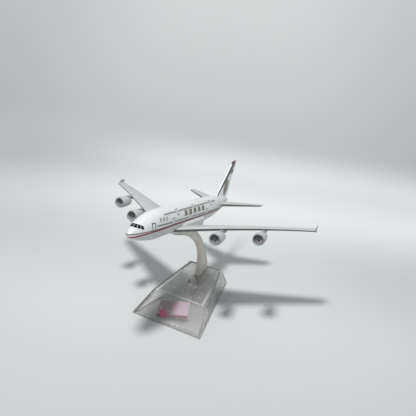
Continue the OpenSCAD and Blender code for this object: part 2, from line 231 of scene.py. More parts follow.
def keel(y):
    drop = (KEEL_Z + NOSE_Z) * nose_rise(y / CHIN_L, 1.85, 1.5)
    return NOSE_Z - drop + (KEEL_Z + 1.3) * tail_fall(y, 95, 1.5)


def half_width(y):
    return BODY_R * nose_rise(y / CHIN_L, 2, 1.55) - (BODY_R - 1.4) * tail_fall(y, 100, 1.8)


def waist(y):
    return min(keel(y) + (roof(y) - keel(y)) * 0.46, roof(y) - 0.3)


def reach(inside, phi, centre):
    """How far a section reaches from (0, centre) towards each angle, found by halving."""
    near, far = np.zeros_like(phi), np.full_like(phi, 30.0)
    for _ in range(40):
        r = (near + far) / 2
        hit = inside(r * np.cos(phi), centre + r * np.sin(phi))
        near, far = np.where(hit, r, near), np.where(hit, far, r)
    return near


def in_cabin(y):
    """The test for a point of the section at y: an oval, taller above its waist or below it."""
    w, top, low, mid = half_width(y), roof(y), keel(y), waist(y)
    return lambda x, z: (x / w) ** 2 + ((z - mid) / np.where(z > mid, top - mid, mid - low)) ** 2 < 1


def in_fairing(y):
    """The test for the belly fairing's section: rounded above its middle, squarer below."""
    fair_w, fair_d = np.interp(y, FAIR_Y, FAIR_W), np.interp(y, FAIR_Y, FAIR_D)

    def inside(x, z):
        up = np.abs(z - FAIR_Z)
        high = (np.abs(x) / fair_w) ** 2.4 + (up / 3.4) ** 2.4
        deep = (np.abs(x) / fair_w) ** 4 + (up / (fair_d + FAIR_Z)) ** 4
        return np.where(z > FAIR_Z, high, deep) < 1
    return inside


def fuselage_ring(y, phi):
    """One section. Its centre sinks to the fairing's own along the belly."""
    mid = waist(y)
    into = smooth_step((y - 34) / 8) * (1 - smooth_step((y - 102) / 8))
    centre = mid + (FAIR_Z - mid) * into
    if into == 0:
        h = np.where(np.sin(phi) > 0, roof(y) - mid, mid - keel(y))
        return np.stack([half_width(y) * np.cos(phi), np.full_like(phi, y), mid + h * np.sin(phi)], 1)
    r = reach(in_cabin(y), phi, centre)
    if FAIR_Y[0] < y < FAIR_Y[-1]:
        fairing = reach(in_fairing(y), phi, centre)
        soft = 0.35
        share = np.clip(0.5 + 0.5 * (fairing - r) / soft, 0, 1)
        r = r * (1 - share) + fairing * share + soft * share * (1 - share) * 0.5
    return np.stack([r * np.cos(phi), np.full_like(phi, y), centre + r * np.sin(phi)], 1)


def fuselage_part(name, keep_above):
    stations = [NOSE_L * (i / 46) ** 2 for i in range(1, 47)]
    stations += list(np.arange(35.5, TAPER_Y, 1.0)) + list(np.arange(TAPER_Y, BODY_L - 1, 1.6))
    stations += [BODY_L - 0.5, BODY_L]
    shell = Shell()
    shell.loft([fuselage_ring(y, turns(112)) for y in stations])
    shell.verts[-1][-2] = (0, 0.01, NOSE_Z)  # the nose tip closes the first ring to a point
    ob = shell.object(name, lambda p: p)
    bm = bmesh.new()
    bm.from_mesh(ob.data)
    seam = -SEAM_Z + (SEAM_GAP if keep_above else -SEAM_GAP)
    cut = bmesh.ops.bisect_plane(bm, geom=bm.verts[:] + bm.edges[:] + bm.faces[:], dist=1e-5,
                                 plane_co=(0, 0, seam), plane_no=(0, 0, 1),
                                 clear_outer=not keep_above, clear_inner=keep_above)
    edges = [e for e in cut["geom_cut"] if isinstance(e, bmesh.types.BMEdge)]
    bmesh.ops.holes_fill(bm, edges=edges, sides=0)
    bmesh.ops.recalc_face_normals(bm, faces=bm.faces)
    bm.to_mesh(ob.data)
    bm.free()
    put_points(ob, aboard([v.co for v in ob.data.vertices]))
    shade(ob, 40)
    return ob


# ---- Wings and tail ----

def aerofoil(u):
    return 5 * (0.2969 * np.sqrt(u) - 0.126 * u - 0.3516 * u * u + 0.2843 * u ** 3 - 0.1015 * u ** 4)


FOIL_STEPS = 22
FOIL = np.array([abs(i / FOIL_STEPS) ** 1.7 for i in range(-FOIL_STEPS, FOIL_STEPS + 1)])
FOIL_SIDE = np.sign(np.arange(-FOIL_STEPS, FOIL_STEPS + 1))


def foil_ring(le, chord, thick, place, edge=0.12):
    """A section of a wing. place gives the point for a share of the chord, a y and a height."""
    return [place(u, le + u * chord, side * (aerofoil(u) * thick + edge)) for u, side in zip(FOIL, FOIL_SIDE)]


def wing_le(x):
    return WING_ROOT_LE + (x - WING_SIDE_X) * math.tan(WING_SWEEP)


def wing_chord(x):
    if x < KINK_X:
        return ROOT_CHORD + (KINK_CHORD - ROOT_CHORD) * (x - WING_SIDE_X) / (KINK_X - WING_SIDE_X)
    return KINK_CHORD + (TIP_CHORD - KINK_CHORD) * (x - KINK_X) / (HALF_SPAN - KINK_X)


def edge_z(e, w):
    """Height of an edge of the wing, w of the way out from the side to the tip."""
    return w * (e[1] - e[0]) + e[0] + w * (1 - w) * (4 * e[2])


def wing_z(x, u):
    w = (x - WING_SIDE_X) / (HALF_SPAN - WING_SIDE_X)
    return edge_z(LE_Z, w) * (1 - u) + edge_z(TE_Z, w) * u


def wing_thick(x):
    return 0.5 + 0.095 * wing_chord(x)


def wing_part(name, side):
    shell = Shell()
    xs = np.concatenate([np.linspace(WING_ROOT_X, KINK_X, 22), np.linspace(KINK_X, HALF_SPAN - 0.5, 34)[1:]])
    shell.loft([foil_ring(wing_le(x), wing_chord(x), wing_thick(x),
                          lambda u, y, h: (side * x, y, wing_z(x, u) + h)) for x in xs])
    # Tip fence: a thin plate with softened edges
    outline = [(1.2, 0), (2.4, 0.95), (3.8, 1.95), (5.5, 2.85), (8.65, 2.85), (8.78, 1.4), (8.8, 0),
               (8.35, -1.2), (7.8, -2.3), (5.3, -2.3), (3.8, -1.7), (2.4, -0.85)]
    x_in, x_out = HALF_SPAN - 0.55, HALF_SPAN
    le, up = wing_le(x_in), (LE_Z[1] + TE_Z[1]) / 2
    middle = np.mean(outline, 0)
    rings = []
    for x, share in ((x_in, 0.9), (x_in + 0.1, 1), (x_out - 0.1, 1), (x_out, 0.9)):
        pts = middle + (np.array(outline) - middle) * share
        rings.append([(side * x, le + p[0], up + p[1]) for p in pts])
    shell.loft(rings)
    # Canoe-shaped housings of the flap tracks
    for x in HOUSING_X:
        length = 7 + wing_chord(x) * 0.12
        start = wing_le(x) + wing_chord(x) - length * 0.98
        rings = []
        for i in range(25):
            t = i / 24
            r = 0.1 + 0.65 * math.sin(math.pi * t) ** 0.8
            rings.append([(side * x + r * 0.85 * math.cos(a), start + length * t,
                           wing_z(x, 0.9) - 0.45 + r * math.sin(a)) for a in turns(20)])
        shell.loft(rings)
    return shell.object(name, aboard, 50)


def fin_le(z):
    if z > FIN_BEND_Z:
        up = (z - FIN_BEND_Z) / (FIN_TOP_Z - FIN_BEND_Z)
        return FIN_TIP_Y - FIN_FLAT - FIN_ROUND * math.sqrt(max(0, 1 - up ** 2))
    return FIN_TIP_Y - FIN_FLAT - FIN_ROUND - (FIN_BEND_Z - z) * FIN_LE_SLOPE


def fin_te(z):
    return FIN_TIP_Y - (FIN_TIP_Z - z) * FIN_TE_SLOPE


def fin_part(name):
    shell = Shell()
    zs = list(np.linspace(FIN_ROOT_Z, FIN_BEND_Z, 40))
    zs += [FIN_BEND_Z + (FIN_TOP_Z - FIN_BEND_Z) * math.sin(t) for t in np.linspace(0, math.pi / 2, 16)[1:]]
    rings = []
    for z in zs:
        chord = fin_te(z) - fin_le(z)
        edge = 0.12 if z < FIN_TIP_Z - 0.3 else 0.06
        rings.append(foil_ring(fin_le(z), chord, chord * 0.09, lambda u, y, h: (-h, y, z), edge))
    shell.loft(rings)
    return shell.object(name, aboard, 50)


def tail_le(x):
    return TAIL_TIP_LE - (TAIL_TIP_X - x) * TAIL_LE_SLOPE


def tail_te(x):
    return TAIL_TIP_TE - (TAIL_TIP_X - x) * TAIL_TE_SLOPE


def tail_z(x):
    return 1.2 + (x - TAIL_SIDE_X) * TAIL_RISE


def tailplane_part(name, side):
    shell = Shell()
    round_x = TAIL_TIP_X - TAIL_ROUND
    xs = list(np.linspace(TAIL_ROOT_X, round_x, 26))
    xs += [round_x + TAIL_ROUND * math.sin(t) for t in np.linspace(0, math.pi / 2, 8)[1:]]
    rings = []
    for x in xs:
        t = max(0, (x - round_x) / TAIL_ROUND)
        clip = 1.4 * (1 - math.sqrt(max(0, 1 - t * t)))
        chord = tail_te(x) - tail_le(x) - clip
        rings.append(foil_ring(tail_le(x) + clip, chord, chord * 0.15,
                               lambda u, y, h: (side * x, y, tail_z(x) + h)))
    shell.loft(rings)
    return shell.object(name, aboard, 50)


# ---- Engines ----

def round_profile(shell, at, profile, steps=72, closed=True):
    """Turns (radius, distance aft) pairs round an engine's axis."""
    rings = [[(at[0] + r * math.cos(a), at[1] + d, at[2] + r * math.sin(a)) for a in turns(steps)]
             for r, d in profile]
    if closed:
        rings.append(rings[0])
    shell.loft(rings, caps=not closed)


def smooth_profile(points, steps=6):
    """Catmull-Rom curve through the points of an open profile."""
    p = np.array([points[0]] + list(points) + [points[-1]], float)
    out = []
    for i in range(1, len(p) - 2):
        for j in range(steps):
            t = j / steps
            out.append(0.5 * (2 * p[i] + (p[i + 1] - p[i - 1]) * t
                              + (2 * p[i - 1] - 5 * p[i] + 4 * p[i + 1] - p[i + 2]) * t * t
                              + (3 * p[i] - p[i - 1] - 3 * p[i + 1] + p[i + 2]) * t ** 3))
    out.append(p[-2])
    return out


def cowl_part(name, at):
    r = COWL_R
    outer = smooth_profile([(r - 0.75, 0), (r - 0.35, 0.3), (r - 0.1, 1.2), (r, 3), (r - 0.02, 5),
                            (r - 0.25, 7.5), (r - 0.85, COWL_L)])
    inner = smooth_profile([(r - 1.15, COWL_L), (r - 1, 8.5), (r - 0.95, 5), (r - 1.05, 2), (r - 0.98, 0.4),
                            (r - 0.75, 0)])
    shell = Shell()
    round_profile(shell, at, outer + inner[:-1])
    return shell.object(name, aboard, 40)


def fan_part(name, at, turn):
    fan_r = COWL_R - 1.02
    shell = Shell()
    # Hub and backing disc
    hub = [(0.02, 0), (FAN_HUB_R, 0), (FAN_HUB_R, 0.75), (fan_r, 0.75), (fan_r, FAN_BACK), (0.02, FAN_BACK)]
    round_profile(shell, at, [(r, FAN_Y + d) for r, d in hub], closed=False)
    # Spinner
    spinner = [(1.02 * math.sqrt(max(0.0, math.sin(t * math.pi / 2))) * 0.98 + 0.02, FAN_Y - 1.3 + 1.35 * t)
               for t in np.linspace(0, 1, 12)]
    round_profile(shell, at, spinner, steps=40, closed=False)
    # Twisted blades
    blade_foot, blade_tip = 0.85, fan_r - 0.06
    for b in range(FAN_BLADES):
        base = 2 * math.pi * b / FAN_BLADES + turn
        rings = []
        for r in np.linspace(blade_foot, blade_tip, 9):
            u = (r - blade_foot) / (blade_tip - blade_foot)
            twist = math.radians(28 + 34 * u)
            chord = 0.85 + 0.55 * u
            lean = 0.28 * u * u
            ring = []
            for t, across in ((0, 0), (0.25, 0.055), (0.6, 0.06), (1, 0), (0.6, -0.04), (0.25, -0.045)):
                along = (t - 0.5) * chord
                spin = along * math.sin(twist) + across * math.cos(twist)
                aft = FAN_Y + 0.2 + 0.75 * (along * math.cos(twist) - across * math.sin(twist))
                a = base + lean + spin / r
                ring.append((at[0] + r * math.cos(a), at[1] + aft, at[2] + r * math.sin(a)))
            rings.append(ring)
        shell.loft(rings)
    return shell.object(name, aboard, 40)


def core_part(name, at):
    r = COWL_R - 0.96
    c = CORE_Y
    nozzle = [(0.02, FAN_Y + FAN_BACK), (r, FAN_Y + FAN_BACK), (r, 5), (r - 0.25, 5.6), (2.95, 7.2),
              (2.75, c), (2.62, c + 2), (2.4, c + 4.2), (2.1, c + 5.6), (1.95, c + 5.66), (1.8, c + 5.6),
              (1.72, c + 5.2), (1.5, c + 4.7), (1.36, c + 5.4), (1.1, c + 6.4), (0.75, c + 7.5),
              (0.4, c + 8.3), (0.2, c + CORE_L - 0.04), (0.02, c + CORE_L)]
    shell = Shell()
    round_profile(shell, at, nozzle, closed=False)
    return shell.object(name, aboard, 45)


def pylon_part(name, at):
    front, back = PYLON_Y, PYLON_Y + PYLON_L
    top = smooth_profile([(front, 3.5), (5.2, 4.2), (8, 4.6), (12, 4.6), (15.5, 3.6), (24, 3.1),
                          (back, 2.4)], 5)
    low = smooth_profile([(front, 3.45), (8, 2.6), (13, 1.6), (19, 1.2), (back, 2.35)], 8)
    rings = []
    for t in np.linspace(0, 1, 36):
        y = front + PYLON_L * t ** 1.4
        zt = np.interp(y, [p[0] for p in top], [p[1] for p in top])
        zl = np.interp(y, [p[0] for p in low], [p[1] for p in low])
        half = 0.7 * min(1, 0.15 + (y - front) / 3.2) * min(1, 0.2 + (back - y) / 6)
        mid, h = (zt + zl) / 2, max((zt - zl) / 2, 0.03)
        ring = []
        for a in turns(24):
            ca, sa = math.cos(a), math.sin(a)
            ring.append((at[0] + half * np.sign(ca) * abs(ca) ** 0.5, at[1] + y,
                         at[2] + mid + h * np.sign(sa) * abs(sa) ** 0.5))
        rings.append(ring)
    shell = Shell()
    shell.loft(rings)
    return shell.object(name, aboard, 40)


def screws_part(name):
    """Two domed screws, heads down, each with a tapered cross recess."""
    profile = [(0.02, -0.9), (1.2, -0.88), (1.5, -0.78), (1.66, -0.6), (1.7, -0.35), (1.7, 0), (0.95, 0.02),
               (0.95, 9.4), (0.5, 10.1), (0.02, 10.1)]
    shell, recess = Shell(), Shell()
    for y in SCREW_Y:
        shell.loft([[(r * math.cos(a), y + r * math.sin(a), SCREW_HEAD_Z + d) for a in turns(48)]
                    for r, d in profile])
        for half_x, half_y in ((0.95, 0.2), (0.2, 0.95)):
            recess.add([(sx * half_x * k, y + sy * half_y * k, SCREW_HEAD_Z + z)
                        for z, k in ((-1.2, 1), (-0.45, 0.6))
                        for sx, sy in ((-1, -1), (1, -1), (1, 1), (-1, 1))], BOX_FACES)
    ob = shell.object(name, lambda p: p * MM)
    join(ob, recess.object("recess", lambda p: p * MM), "DIFFERENCE")
    put_points(ob, aboard(np.array([v.co for v in ob.data.vertices]) / MM))
    shade(ob, 35)
    return ob


# ---- Stand ----

def bezier_curve(p, n):
    p = np.array(p, float)
    t = np.linspace(0, 1, n)[:, None]
    return (1 - t) ** 3 * p[0] + 3 * (1 - t) ** 2 * t * p[1] + 3 * (1 - t) * t * t * p[2] + t ** 3 * p[3]


def deck_height(y):
    return DECK_Z + (BASE_H - DECK_Z) * (y - DECK_Y) / (TOP_Y - DECK_Y)


def belly_line(y):
    """Height of the aircraft's belly over the stand, less the gap that the arm keeps below it."""
    return NOSE_HEIGHT - (y + BASE_AFT) * math.tan(PITCH) + (BELLY_Z - NOSE_Z) / math.cos(PITCH) - REST_GAP


def block(name, half_w, y, low, high, place):
    """A small block with softened edges: the tang or the peg of the arm."""
    corners = ((-half_w, y[0]), (half_w, y[0]), (half_w, y[1]), (-half_w, y[1]))
    verts = [(*corner, z) for z in (low, high) for corner in corners]
    shell = Shell()
    shell.add(verts, BOX_FACES)
    ob = shell.object(name, place)
    bevel(ob, 0.3, 2, 40)
    return ob


def arm_part(name):
    front = bezier_curve([(ARM_TOP_Y, 74.9), (19, 69.2), (52, 58), (49.8, 33)], 60)
    rear = bezier_curve([(ARM_FOOT_Y, BASE_H + 0.6), (56, 52), (38, 66.5), (21, 75.4)], 60)
    outline = [(p[0], min(p[1], belly_line(p[0]))) for p in front]
    outline += [(y, deck_height(y) + REST_GAP) for y in (49.9, ARM_FOOT_Y)]
    outline += [(p[0], min(p[1], belly_line(p[0]))) for p in rear] + [(ARM_TOP_Y, belly_line(ARM_TOP_Y))]
    keep = [outline[0]]
    for p in outline[1:]:
        if math.dist(p, keep[-1]) > 0.05:
            keep.append(p)
    if math.dist(keep[0], keep[-1]) < 0.05:
        keep.pop()
    n = len(keep)
    verts = [(s * ARM_W / 2, y, z) for s in (-1, 1) for y, z in keep]
    faces = [list(range(n))[::-1], list(range(n, 2 * n))]
    faces += [[i, (i + 1) % n, n + (i + 1) % n, n + i] for i in range(n)]
    shell = Shell()
    shell.add(verts, faces)
    ob = shell.object(name, on_table)
    bevel(ob, 0.55, 3, 40)
    tang_top, peg_foot = deck_height(TANG_Y) + TANG_UP, BELLY_Z - 1.5
    tang = block("tang", TANG[0] / 2, (TANG_Y, TANG_Y + TANG[1]), tang_top - TANG[2], tang_top, on_table)
    join(ob, tang, "UNION")
    peg = block("peg", PEG[0] / 2, (PEG_Y - PEG[1] / 2, PEG_Y + PEG[1] / 2), peg_foot,
                peg_foot + PEG[2] - 0.7, aboard)
    join(ob, peg, "UNION")
    shade(ob, 35)
    return ob


def base_part(name):
    """The CAD base's own mesh, with its flat faces joined up and its edges softened."""
    ob = bpy.data.objects.new(name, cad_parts["stand_base"].data.copy())
    bpy.context.scene.collection.objects.link(ob)
    bm = bmesh.new()
    bm.from_mesh(ob.data)
    bmesh.ops.remove_doubles(bm, verts=bm.verts, dist=1e-6)
    bmesh.ops.dissolve_limit(bm, angle_limit=math.radians(1.5), verts=bm.verts, edges=bm.edges)
    bmesh.ops.recalc_face_normals(bm, faces=bm.faces)
    bm.to_mesh(ob.data)
    bm.free()
    ob.data.materials.clear()
    bevel(ob, 0.4, 3, 15)
    shade(ob, 12)
    return ob


def card_part(name):
    """A printed slip, a little curled, that lies on the inside of the base's front face."""
    w, h, t = CARD
    nx, ny = 40, 24
    curled = 0.62  # the share of the slip's length that curls
    shell = Shell()
    grid = {}
    verts = []
    for layer in (0, 1):
        for j in range(ny + 1):
            for i in range(nx + 1):
                u, v = i / nx, j / ny
                x, y = (u - 0.5) * w, (v - 0.5) * h
                bend = math.pi * min(1, max(0, (curled - u) / curled))
                curl = 1.5 * max(0, math.sin(bend)) * (0.35 + 0.65 * v)
                z = -t * layer - curl
                across = x * math.cos(CARD_TURN) - y * math.sin(CARD_TURN)
                along = CARD_UP + (x * math.sin(CARD_TURN) + y * math.cos(CARD_TURN))
                up = z - BASE_WALL - 0.02
                verts.append((across, along * math.cos(FACE_SLOPE) - up * math.sin(FACE_SLOPE),
                              LIP_H + along * math.sin(FACE_SLOPE) + up * math.cos(FACE_SLOPE)))
                grid[layer, i, j] = len(verts) - 1
    faces = []
    for j in range(ny):
        for i in range(nx):
            faces.append([grid[0, i, j], grid[0, i + 1, j], grid[0, i + 1, j + 1], grid[0, i, j + 1]])
            faces.append([grid[1, i, j + 1], grid[1, i + 1, j + 1], grid[1, i + 1, j], grid[1, i, j]])
    for i in range(nx):
        for j, flip in ((0, False), (ny, True)):
            q = [grid[0, i, j], grid[1, i, j], grid[1, i + 1, j], grid[0, i + 1, j]]
            faces.append(q[::-1] if flip else q)
    for j in range(ny):
        for i, flip in ((0, True), (nx, False)):
            q = [grid[0, i, j], grid[1, i, j], grid[1, i, j + 1], grid[0, i, j + 1]]
            faces.append(q[::-1] if flip else q)
    shell.add(verts, faces)
    return shell.object(name, on_table, 40)


# ---- Materials ----

class Num:
    """A number that varies over the surface: an output socket in a material's node tree."""

    def __init__(self, g, socket):
        self.g, self.socket = g, socket

    def __add__(self, o):
        return self.g.math("ADD", self, o)

    __radd__ = __add__

    def __sub__(self, o):
        return self.g.math("SUBTRACT", self, o)

    def __rsub__(self, o):
        return self.g.math("SUBTRACT", o, self)

    def __mul__(self, o):
        return self.g.math("MULTIPLY", self, o)

    __rmul__ = __mul__

    def __truediv__(self, o):
        return self.g.math("DIVIDE", self, o)

    def __abs__(self):
        return self.g.math("ABSOLUTE", self)


class Graph:
    """A material built from formulas on the surface's own coordinates."""

    def __init__(self, name):
        self.mat = bpy.data.materials.new(name)
        self.mat.use_nodes = True
        self.tree = self.mat.node_tree
        self.tree.nodes.clear()
        self.out = self.node("ShaderNodeOutputMaterial")
        self.bsdf = self.node("ShaderNodeBsdfPrincipled")
        self.tree.links.new(self.bsdf.outputs[0], self.out.inputs[0])
        self.coords = self.node("ShaderNodeTexCoord").outputs["Object"]

    def node(self, kind, **settings):
        n = self.tree.nodes.new(kind)
        for k, v in settings.items():
            setattr(n, k, v)
        return n

    def put(self, socket, value):
        if isinstance(value, Num):
            self.tree.links.new(value.socket, socket)
        elif isinstance(value, bpy.types.NodeSocket):
            self.tree.links.new(value, socket)
        else:
            socket.default_value = value

    def math(self, op, *values):
        n = self.node("ShaderNodeMath", operation=op)
        for s, v in zip(n.inputs, values):
            self.put(s, v)
        return Num(self, n.outputs[0])

    def axes(self, location, rotation=(0, 0, 0), scale=1 / MM):
        """Mapped coordinates in millimetres, as a vector socket and three numbers."""
        m = self.node("ShaderNodeMapping", vector_type="POINT")
        self.put(m.inputs["Vector"], self.coords)
        m.inputs["Location"].default_value = location
        m.inputs["Rotation"].default_value = rotation
        m.inputs["Scale"].default_value = (scale,) * 3
        s = self.node("ShaderNodeSeparateXYZ")
        self.put(s.inputs[0], m.outputs[0])
        return m.outputs[0], [Num(self, o) for o in s.outputs]

    def aircraft(self):
        """The aircraft's own axes, which are pitched, in millimetres."""
        c, s = math.cos(PITCH), math.sin(PITCH)
        y, z = NOSE_FRONT, NOSE_HEIGHT
        return self.axes((0, -(y * c - z * s), -(y * s + z * c) + NOSE_Z), (PITCH, 0, 0))

    def step(self, value, low, high):
        """Smoothly from 0 at low to 1 at high. low may be the larger of the two."""
        n = self.node("ShaderNodeMapRange", interpolation_type="SMOOTHSTEP")
        self.put(n.inputs["Value"], value)
        self.put(n.inputs["From Min"], low)
        self.put(n.inputs["From Max"], high)
        return Num(self, n.outputs[0])

    def band(self, value, centre, half, soft=0.06):
        """1 within half of centre, 0 outside."""
        return self.step(abs(value - centre), half + soft, half - soft)

    def both(self, *masks):
        """1 where every mask is 1."""
        r = masks[0]
        for m in masks[1:]:
            r = r * m
        return r

    def either(self, *masks):
        """1 where any mask is 1."""
        r = masks[0]
        for m in masks[1:]:
            r = self.math("MAXIMUM", r, m)
        return r

    def within(self, value, low, high, soft=0.06):
        return self.step(value, low - soft, low + soft) * self.step(value, high + soft, high - soft)

    def repeat(self, value, pitch):
        """Distance from the middle of each repeat."""
        return abs(self.math("FRACT", value / pitch) - 0.5) * pitch

    def mix(self, mask, a, b):
        n = self.node("ShaderNodeMix", data_type="RGBA")
        self.put(n.inputs["Factor"], mask)
        # For colours, the node's A and B are its sockets 6 and 7, and its result is output 2
        self.put(n.inputs[6], a)
        self.put(n.inputs[7], b)
        return n.outputs[2]

    def noise(self, vector, scale, detail, roughness=0.5):
        n = self.node("ShaderNodeTexNoise")
        self.put(n.inputs["Vector"], vector)
        n.inputs["Scale"].default_value = scale
        n.inputs["Detail"].default_value = detail
        n.inputs["Roughness"].default_value = roughness
        return Num(self, n.outputs["Fac"])

    def bump(self, height, strength, distance):
        n = self.node("ShaderNodeBump")
        n.inputs["Strength"].default_value = strength
        n.inputs["Distance"].default_value = distance * MM
        self.put(n.inputs["Height"], height)
        self.put(self.bsdf.inputs["Normal"], n.outputs[0])

    def paint(self, colour, roughness, **fixed):
        self.put(self.bsdf.inputs["Base Color"], colour)
        self.put(self.bsdf.inputs["Roughness"], roughness)
        for k, v in fixed.items():
            self.bsdf.inputs[k.replace("_", " ")].default_value = v
        return self.mat


def grey(v, tint=(1, 1, 1)):
    return (v * tint[0], v * tint[1], v * tint[2], 1)


COOL = (0.985, 1.0, 1.0)
RED = (0.28, 0.03, 0.045, 1)
GOLD = (0.09, 0.068, 0.03, 1)
DARK_GOLD = (0.05, 0.035, 0.02, 1)
INK = grey(0.07)
NAVY = (0.008, 0.009, 0.02, 1)
MILKY_EDGE_LIGHT = (0.52, 0.50, 0.54, 1)

# Cabin windows: height at the nose, its slope aft, first and last y, half size, and gaps (y, half)
WINDOW_ROWS = ((1.76, -0.011, 19.2, 126, 0.5, ((38.8, 2.2), (61.5, 2.2), (91, 2.2), (118.5, 2.2))),
               (6.55, 0.004, 29, 111, 0.46, ((45.7, 1.9), (70.5, 1.9), (100, 1.9))))
# Doors: y, half width, height of the middle, half height
FRONT_DOOR = (16.65, 1.25, 0.85, 2.45)
DOORS = (FRONT_DOOR, (38.8, 1.45, 1.35, 2.1), (61.5, 1.45, 1.2, 2.1), (91, 1.45, 1.0, 2.1),
         (118.5, 1.45, 0.75, 2.0), (45.7, 1.25, 6.35, 1.5), (70.5, 1.25, 6.4, 1.5), (100, 1.25, 6.4, 1.5))
# Plain bars on the cabin: first and last y, low and high z, pitch, half width
BIG_BARS = (51.4, 86.6, 2.75, 6.1, 7.04, 2.2)
SMALL_BARS = (20.6, 30.4, 3.3, 5.6, 3.27, 0.95)


def bars(g, y, z, sizes):
    start, stop, low, high, pitch, half = sizes
    return g.both(g.within(y, start, stop), g.within(z, low, high),
                  g.band(g.repeat(y - start, pitch), 0, half))


def fuselage_material(name):
    g = Graph(name)
    vec, (x, y, z) = g.aircraft()
    ax = abs(x)
    drop = g.math("EXPONENT", y * (-1 / 11))
    red_z = drop * -3.0 - 0.85
    gold_z = drop * -1.45 - 0.35
    cloud = g.noise(vec, 0.09, 4)
    fine = g.noise(vec, 1.3, 3)
    speck = g.noise(vec, 4.5, 2)
    white = g.mix(cloud, grey(0.645, COOL), grey(0.725, COOL))
    under = g.mix(cloud, grey(0.60, COOL), grey(0.68, COOL))
    # Painted shade: the lowest part of the belly along the fairing is painted dark grey
    under = g.mix(g.step(z, -9.0, -10.6) * g.step(y, 36, 42), under, grey(0.16, COOL))
    colour = g.mix(g.step(z - red_z, -0.3, -0.5), white, under)
    # Cheatlines
    rub = g.step(speck, 0.22, 0.34)
    end = g.step(y, 152, 150)
    red = g.both(g.band(z, red_z, 0.52), end, rub)
    gold = g.both(g.band(z, gold_z, 0.26, 0.05), end, rub)
    colour = g.mix(red, colour, RED)
    colour = g.mix(gold, colour, DARK_GOLD)
    # Little square windows
    ink = []
    for z_nose, slope, start, stop, size, gaps in WINDOW_ROWS:
        row = g.both(g.within(y, start, stop), g.band(z, y * slope + z_nose, size),
                     g.band(g.repeat(y, 1.2), 0, 0.46))
        for at, half in gaps:
            row = row * (1 - g.band(y, at, half))
        ink.append(row)
    # Door outlines, bolder on the front door. The others have a small window
    for door in DOORS:
        at, half_y, mid, half_z = door
        edge = g.math("MAXIMUM", abs(y - at) - half_y, abs(z - mid) - half_z)
        ink.append(g.band(edge, 0, 0.34 if door == FRONT_DOOR else 0.2, 0.05))
        if door != FRONT_DOOR:
            ink.append(g.both(g.band(y, at, 0.3), g.band(z, mid + half_z * 0.35, 0.36)))
    # Two short dashes
    ink.append(g.both(g.within(y, 44.2, 46.6), g.band(z, 4.75, 0.28)))
    ink.append(g.both(g.within(y, 106, 107.8), g.band(z, 5.4, 0.3)))
    ink = g.either(*ink) * g.step(ax, 1.5, 2.0)
    colour = g.mix(ink * 0.95, colour, INK)
    # The bars slant
    lean = y - z * 0.35
    colour = g.mix(bars(g, lean, z, BIG_BARS) * g.step(fine, 0.2, 0.4) * 0.85, colour, GOLD)
    colour = g.mix(bars(g, lean, z, SMALL_BARS) * 0.6, colour, GOLD)
    # Cockpit windows: panes round the nose along a sloping line
    v = (z - 2.85 + (y - 5.5) * 0.37) * 0.938
    turn = g.math("ARCTAN2", ax, 10.0 - y)
    tall = g.step(ax, 5.6, 1.5) * 0.25 + 0.9
    panes = [g.band(turn, math.radians(middle), math.radians(half), 0.03)
             for middle, half in ((13.5, 12), (40.5, 12.5), (67, 11.5))]
    glass = g.both(g.step(y, 12, 11), g.step(abs(v) - tall, 0.06, -0.06), g.either(*panes),
                   g.step(z, 0.2, 0.5))
    colour = g.mix(glass, colour, NAVY)
    g.bump(g.noise(vec, 0.55, 3) + speck * 0.25 - ink * 0.3, 0.18, 0.25)
    g.put(g.bsdf.inputs["Specular IOR Level"], 0.5 - glass * 0.4)
    return g.paint(colour, fine * 0.16 + 0.34 - glass * 0.15, Coat_Weight=0.12, Coat_Roughness=0.3)


def wing_material(name):
    g = Graph(name)
    vec, (x, y, z) = g.aircraft()
    ax = abs(x)
    le = (ax - WING_SIDE_X) * math.tan(WING_SWEEP) + WING_ROOT_LE
    inner = (ax - WING_SIDE_X) * ((KINK_CHORD - ROOT_CHORD) / (KINK_X - WING_SIDE_X)) + ROOT_CHORD
    outer = (ax - KINK_X) * ((TIP_CHORD - KINK_CHORD) / (HALF_SPAN - KINK_X)) + KINK_CHORD
    u = (y - le) / g.math("MAXIMUM", inner, outer)
    w = (ax - WING_SIDE_X) / (HALF_SPAN - WING_SIDE_X)
    mid_z = edge_z(LE_Z, w) * (1 - u) + edge_z(TE_Z, w) * u
    under = g.step(z - mid_z, 0.05, -0.15)
    cloud = g.noise(vec, 0.12, 4)
    fine = g.noise(vec, 1.6, 3)
    colour = g.mix(cloud, grey(0.45, COOL), grey(0.53, COOL))
    # Painted shade: the underside is painted darker grey
    colour = g.mix(under, colour, grey(0.26, COOL))
    # Painted shade: a dark lower front edge. The fences are darker too
    colour = g.mix(g.step(u, 0.1, 0.03) * g.step(z - mid_z, 0.55, 0.15), colour, grey(0.10, COOL))
    colour = g.mix(g.step(ax, HALF_SPAN - 0.8, HALF_SPAN - 0.5), colour, grey(0.22, COOL))
    # Panel lines of the slats and the flaps
    lines = [g.both(g.band(u, 0.14, 0.004, 0.002), g.step(ax, 12, 12.5)), g.band(u, 0.72, 0.005, 0.002),
             g.both(g.step(u, 0.71, 0.73), g.band(g.repeat(ax - 9, 16.3), 0, 0.11, 0.05)),
             g.both(g.step(u, 0.15, 0.13), g.band(g.repeat(ax - 15, 12.1), 0, 0.1, 0.05))]
    line = g.either(*lines) * g.step(abs(z - mid_z), 3.2, 3.0) * g.step(ax, 86.5, 86)
    colour = g.mix(line * 0.45, colour, grey(0.22, COOL))
    g.bump(g.noise(vec, 0.5, 3) + fine * 0.2 - line * 0.8, 0.2, 0.25)
    return g.paint(colour, fine * 0.18 + 0.3, Coat_Weight=0.2, Coat_Roughness=0.25)


